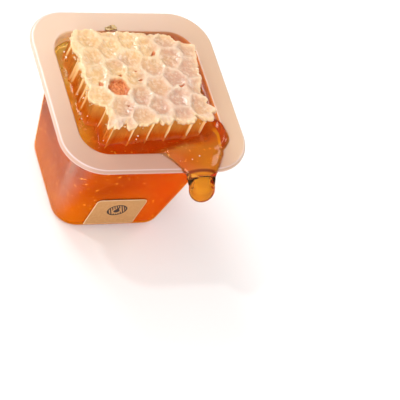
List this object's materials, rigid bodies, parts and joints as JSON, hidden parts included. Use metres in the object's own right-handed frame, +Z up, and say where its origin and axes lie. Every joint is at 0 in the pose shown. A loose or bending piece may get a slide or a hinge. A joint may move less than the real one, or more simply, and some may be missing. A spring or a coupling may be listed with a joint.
{
  "type": "honeycomb in a honey tub",
  "caption": "Block of capped honeycomb standing in an open square plastic tub of honey, with honey running over the front rim into a hanging drop.",
  "frame": {"origin": "middle of the flat base of the tub, on the surface it stands on", "axes": "+Z up out of the tub's mouth, -Y towards the front wall with the label, +X to the right seen from the front"},
  "size_m": [0.048, 0.0538, 0.0415],
  "materials": {
    "tub_plastic": "milky translucent moulded plastic, satin",
    "honey": "clear amber honey, wet and glossy",
    "wax": "cream beeswax cappings, matt with a slight sheen",
    "label_paper": "matt tan paper with a plain printed drop in a ring"
  },
  "bodies": {
    "root": {"tub": "tub_plastic", "honey": "honey", "comb": "wax", "label": "label_paper"}
  },
  "joints": []
}
